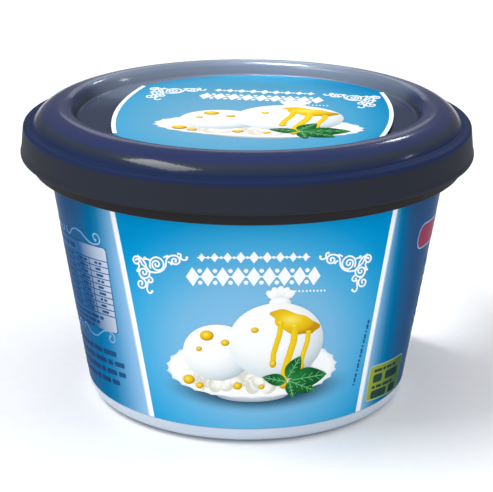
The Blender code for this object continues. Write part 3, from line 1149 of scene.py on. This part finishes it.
class TUB_OT_oil(bpy.types.Operator):
    """Prints golden oil: a drizzle over the balls and drops on the dish"""

    bl_idname = "cheese_tub.oil"
    bl_label = "Oil"

    def execute(self, context):
        piece = open_piece("oil")
        # a pool over the large ball's shoulder, with three runs down from it
        middle, across, up = (9.4, 32.2), 5.6, 2.7
        pool = []
        for step in range(48):
            angle = math.tau * step / 48
            swell = 1.0 + 0.10 * math.sin(3 * angle + 0.6) + 0.06 * math.sin(7 * angle)
            pool.append((middle[0] + across * swell * math.cos(angle),
                         middle[1] + up * swell * math.sin(angle)
                         - 0.30 * across * math.cos(angle)))
        outlined(pool, middle, (6.2, 3.6), layer=5)
        for x, top, length, width in OIL_RUNS:
            bend = 2.4 * length
            x_end, y_end = ribbon(x, top, math.radians(-86), width,
                                  [(-bend, 24), (bend, 24)], layer=5.2)
            disc(x_end, y_end, width * 0.62, width * 0.8, corners=20, layer=5.4)
        for x, y, size in OIL_DROPS:
            disc(x, y, size * 1.25, size, corners=20, layer=5.3)
        printed(piece, ALL_PANELS, shaded_ink("oil_ink", (
            (0.0, "f7e26a"), (0.22, context.scene.cheese_tub_colours.oil), (0.42, "dcb01c"),
            (0.5, "c08d16")), centre=(-0.15, 0.2)))
        return {"FINISHED"}


def leaf_outline(x, y, length, width, turn):
    """A pointed oval leaf that starts at a point and runs along its turn."""
    rail = []
    steps = 12
    for side, order in ((1, range(steps + 1)), (-1, range(steps - 1, 0, -1))):
        for step in order:
            along = step / steps
            half = width / 2 * math.sin(math.pi * along**0.85) ** 0.8 * (1.12 - 0.35 * along)
            rail.append((along * length, side * half))
    cos, sin = math.cos(turn), math.sin(turn)
    return [(x + a * cos - b * sin, y + a * sin + b * cos) for a, b in rail]


# Leaves: start, length and width in mm, and turn in degrees
LEAVES = ((9.6, 17.4, 9.2, 5.4, 8), (8.8, 17.2, 7.6, 4.4, -22), (8.4, 17.8, 6.6, 3.8, 62),
          (8.2, 17.0, 6.0, 3.2, 168), (9.0, 17.0, 4.6, 2.8, -75))


class TUB_OT_leaves(bpy.types.Operator):
    """Prints a sprig of green leaves at the dish's right, with paler veins"""

    bl_idname = "cheese_tub.leaves"
    bl_label = "Leaves"

    def execute(self, context):
        piece = open_piece("leaves")
        for number, (x, y, length, width, turn) in enumerate(LEAVES):
            outline = leaf_outline(x, y, length, width, math.radians(turn))
            outlined(outline, (x, y), (length, length), layer=6 + 0.15 * number)
        printed(piece, ALL_PANELS, shaded_ink("leaf_ink", (
            (0.0, "2f8a45"), (0.2, context.scene.cheese_tub_colours.leaf), (0.38, "15512a"),
            (0.5, "3f9a55"))))
        piece = open_piece("leaf_veins")
        for x, y, length, width, turn in LEAVES:
            heading = math.radians(turn)
            ribbon(x, y, heading, 0.22, [(None, 0.86 * length)], layer=7.2)
            for step in (0.25, 0.45, 0.65):
                for side in (-1, 1):
                    ribbon(x + step * length * math.cos(heading),
                           y + step * length * math.sin(heading),
                           heading + side * math.radians(42), 0.14,
                           [(None, 0.30 * width)], layer=7.3)
        printed(piece, ALL_PANELS, plain_ink("vein_ink", "6db678"))
        return {"FINISHED"}


def dashes(x, y, width, height, seed, layer):
    """A row of short dashes of uneven length, which stands for a line of small print."""
    end = x + width
    number = seed
    while x < end - height:
        length = min((2.0 + 1.6 * math.sin(number * 2.1)) * height + 1.2 * height, end - x)
        block(x + length / 2, y, length / 2, height / 2, rounding=height * 0.3, layer=layer)
        x += length + 0.7 * height
        number += 1


def bordered(place, names, box, rim, roundings, inks):
    """Prints a rounded block, and on it its field, smaller by the rim all round."""
    x, y, across, up = box
    for layer, inset in enumerate((0.0, rim)):
        piece = open_piece(names[layer])
        block(x, y, across - inset, up - inset, rounding=roundings[layer], layer=layer)
        printed(piece, [place], inks[layer])


# Rows of dashes on the side panels, in mm: where each starts and its width
LEFT_ROWS = ((2.0, 28.5), (0.0, 33.0), (1.0, 32.0), (4.0, 26.0))
RIGHT_ROWS = ((-12.0, 28.0), (-13.5, 31.0), (-13.0, 30.0), (-13.5, 31.0), (-10.5, 25.0))
# Bars on the tag, in mm: height above its middle, width and thickness
TAG_BARS = ((3.2, 10.5, 0.75), (1.1, 12.5, 2.2), (-1.2, 10.5, 0.75), (-3.2, 12.5, 2.2))


class TUB_OT_side_print(bpy.types.Operator):
    """Prints the side panels: a ruled table, rows of dashes, a tag and a plain band"""

    bl_idname = "cheese_tub.side_print"
    bl_label = "Side Print"

    def execute(self, context):
        colours = context.scene.cheese_tub_colours
        # the side panels' inks take the film's painted highlight and painted shade
        small_print_ink = painted_shade_side_ink("small_print_ink", "2a5f92", "1d3f68")
        rim = 0.28
        # the table stands beside the left panel's front stripe; x runs from the panel's middle
        left, right, top, foot = -4.0, 32.6, 42.6, 20.6
        middle, half = (left + right) / 2, (right - left) / 2
        bordered(on_left, ("table_border", "table_field"),
                 (middle, (top + foot) / 2, half, (top - foot) / 2), rim, (1.0, 0.8),
                 (painted_shade_side_ink("table_border_ink", "3f74a6", "1c4a7a"),
                  painted_shade_side_ink("table_ink", "cfd8e4", "285c8d")))
        piece = open_piece("table_lines")
        rows, row_height = 10, 1.55
        first = top - 3.6
        for row in range(rows):
            block(middle, first - row * row_height, half - rim, 0.11, layer=2)
        table_foot = first - (rows - 1) * row_height
        for column in (right - 7.2, right - 13.0):
            block(column, (first + table_foot) / 2, 0.12, (first - table_foot) / 2, layer=2.2)
        dashes(left + 7, top - 1.9, 16, 1.1, 3, 2)
        for row in range(rows - 1):
            y = first - (row + 0.5) * row_height
            for x, width, seed in ((left + 1.5, 20, 0), (right - 12.2, 4.0, 3),
                                   (right - 5.0, 2.6, 5)):
                dashes(x, y, width, 0.62, row + seed, 2)
        for row in range(3):
            dashes(left + 2, table_foot - 1.2 - 1.35 * row, 30.0 - 2.5 * row, 0.8, row + 11, 2)
        for row, (start, width) in enumerate(LEFT_ROWS):
            dashes(start, 15.0 - 2.55 * row, width, 1.25, row + 20, 1)
        printed(piece, [on_left], small_print_ink)
        # small flourishes over and under the table, and over and under the right panel's rows
        flourish_ink = painted_shade_side_ink("flourish_ink", "a9c3de", "5b8dba")
        for name, place, centre, rows in (
            ("left_flourishes", on_left, middle, ((45.4, 1), (18.3, -1))),
            ("right_flourishes", on_right, 2.0, ((34.8, 1), (15.4, -1))),
        ):
            piece = open_piece(name)
            for y, up in rows:
                for side in (-1, 1):
                    x = centre + side * 7.0
                    heading = math.radians(90 - 90 * side)
                    bend = side * up
                    ribbon(x, y, heading, 0.4,
                           [(-6 * bend, 40), (5 * bend, 60), (1.3 * bend, 180), (0.8 * bend, 150)],
                           layer=1, end_dot=0.38, narrowing=0.92)
                    ribbon(x, y, heading + math.pi, 0.4,
                           [(5 * bend, 50), (-1.2 * bend, 150)],
                           layer=1.3, end_dot=0.34, narrowing=0.92)
            printed(piece, [place], flourish_ink)
        piece = open_piece("right_dashes")
        for row, (start, width) in enumerate(RIGHT_ROWS):
            dashes(start, 30.6 - 2.75 * row, width, 1.15, row + 31, 1)
        printed(piece, [on_right], small_print_ink)
        # the tag near the right panel's foot
        tag = (-28.6, 7.2, 8.6, 4.75)
        bordered(on_right, ("tag_border", "tag_field"), tag, rim, (1.1, 0.9),
                 (painted_shade_side_ink("tag_border_ink", "b3cc92", "7fa077"),
                  painted_shade_side_ink("tag_ink", colours.tag, "45683f")))
        piece = open_piece("tag_bars")
        for up, width, height in TAG_BARS:
            dashes(tag[0] - tag[2] + 1.8, tag[1] + up, width, height, int(10 + up), 2)
        printed(piece, [on_right], painted_shade_side_ink("tag_bar_ink", "2f5048", "1e3340"))
        # a plain band across the right panel's upper part
        bordered(on_right, ("band_border", "band"), (0.0, 42.6, 25.6, 3.3), 0.4, (2.8, 2.4),
                 (painted_shade_side_ink("band_border_ink", "9fb2d2", "8fa6cb"),
                  plain_ink("band_ink", colours.band)))
        return {"FINISHED"}


def add_lamp(name, place, turn, sides, power):
    """Adds a rectangular area lamp and returns it."""
    bpy.ops.object.light_add(type="AREA", location=place, rotation=turn)
    lamp = bpy.context.object
    lamp.name = lamp.data.name = name
    lamp.data.shape = "RECTANGLE"
    lamp.data.size, lamp.data.size_y = sides
    lamp.data.energy = power
    return lamp


class TUB_OT_stage(bpy.types.Operator):
    """Adds the pale floor, the soft studio light and the camera"""

    bl_idname = "cheese_tub.stage"
    bl_label = "Studio"

    def execute(self, context):
        bpy.ops.object.select_all(action="DESELECT")
        bpy.ops.mesh.primitive_plane_add(size=6.0)
        floor = context.object
        floor.name = "studio_floor"
        # uncoated white board: matt, with a grain too faint to catch the eye
        material, tree, shader = new_material("matt_studio_board", Roughness=0.9)
        place = add_node(tree, "ShaderNodeTexCoord").outputs["Object"]
        grain = add_node(tree, NOISE, {"Vector": place, "Scale": 400.0, "Detail": 3.0})
        feed(tree, shader, {"Base Color": add_node(
            tree, MIX, {"Factor": grain, "A": "f4f5f5", "B": "fafafa"}, data_type="RGBA")})
        floor.data.materials.append(material)
        # a bright ceiling that leans to the front, and a dim back wall
        world = bpy.data.worlds.new("studio_light")
        world.use_nodes = True
        room = world.node_tree
        bearing = add_node(room, "ShaderNodeTexCoord").outputs["Generated"]
        lean = add_node(room, VECTOR_MATH, {0: bearing, 1: (0.0, -0.60, 0.80)},
                        operation="DOT_PRODUCT")
        glow = add_node(room, MAP_RANGE, {
            "Value": lean, "From Min": -0.35, "From Max": 0.85, "To Min": 0.24, "To Max": 1.07})
        feed(room, room.nodes["Background"], {"Strength": glow, "Color": "fcfcff"})
        context.scene.world = world
        context.scene.view_settings.view_transform = "Standard"
        for name, bearing, height, sides, radiance in SOFTBOXES:
            around, above = math.radians(bearing), math.radians(height)
            place = (SOFTBOX_DISTANCE * math.sin(around) * math.cos(above),
                     -SOFTBOX_DISTANCE * math.cos(around) * math.cos(above),
                     TOP + SOFTBOX_DISTANCE * math.sin(above))
            add_lamp(name, place, (math.pi / 2 - above, 0.0, around), sides,
                     radiance * math.pi * sides[0] * sides[1])
        # a small lamp with a grid, close over the lid, glints on the far side of the crown
        lamp = add_lamp("grid_lamp", (-8 * MM, 82 * MM, TOP + 150 * MM),
                        (math.radians(-9), math.radians(-8), 0.0), (36 * MM, 9 * MM), 0.0100)
        lamp.data.spread = math.radians(20)
        bpy.ops.object.camera_add(
            location=(CAMERA_AIM[0], -CAMERA_DISTANCE * math.cos(CAMERA_RISE),
                      CAMERA_AIM[1] + CAMERA_DISTANCE * math.sin(CAMERA_RISE)),
            rotation=(math.pi / 2 - CAMERA_RISE, 0.0, 0.0))
        camera = context.object
        camera.data.sensor_width = SENSOR_WIDTH
        camera.data.lens = SENSOR_WIDTH * FOCAL_PIXELS / PHOTO_WIDTH
        camera.rotation_euler.rotate_axis("Z", CAMERA_ROLL)
        context.scene.camera = camera
        return {"FINISHED"}


class TUB_PT_panel(bpy.types.Panel):
    bl_label = "Cheese Tub"
    bl_idname = "TUB_PT_panel"
    bl_space_type = "VIEW_3D"
    bl_region_type = "UI"
    bl_category = "Cheese Tub"

    def draw(self, context):
        layout = self.layout
        for group in (context.scene.cheese_tub_sizes, context.scene.cheese_tub_colours):
            box = layout.box()
            for key in group.bl_rna.properties.keys():
                if key not in {"rna_type", "name"}:
                    box.prop(group, key)
        for step in STEPS:
            layout.operator(step.bl_idname)


STEPS = (
    TUB_OT_base, TUB_OT_sleeve, TUB_OT_lid, TUB_OT_lid_label, TUB_OT_stripes, TUB_OT_scrolls,
    TUB_OT_frieze, TUB_OT_dish, TUB_OT_cheese, TUB_OT_oil, TUB_OT_leaves, TUB_OT_side_print,
    TUB_OT_stage,
)
CLASSES = (TubSizes, TubColours, *STEPS, TUB_PT_panel)


def register():
    for item in CLASSES:
        bpy.utils.register_class(item)
    bpy.types.Scene.cheese_tub_sizes = bpy.props.PointerProperty(type=TubSizes)
    bpy.types.Scene.cheese_tub_colours = bpy.props.PointerProperty(type=TubColours)


def unregister():
    del bpy.types.Scene.cheese_tub_colours
    del bpy.types.Scene.cheese_tub_sizes
    for item in reversed(CLASSES):
        bpy.utils.unregister_class(item)


def main():
    register()
    bpy.ops.cheese_tub.base()
    bpy.ops.cheese_tub.sleeve()
    bpy.ops.cheese_tub.lid()
    bpy.ops.cheese_tub.lid_label()
    bpy.ops.cheese_tub.stripes()
    bpy.ops.cheese_tub.scrolls()
    bpy.ops.cheese_tub.frieze()
    bpy.ops.cheese_tub.dish()
    bpy.ops.cheese_tub.cheese()
    bpy.ops.cheese_tub.oil()
    bpy.ops.cheese_tub.leaves()
    bpy.ops.cheese_tub.side_print()
    bpy.ops.cheese_tub.stage()


if __name__ == "__main__":
    main()
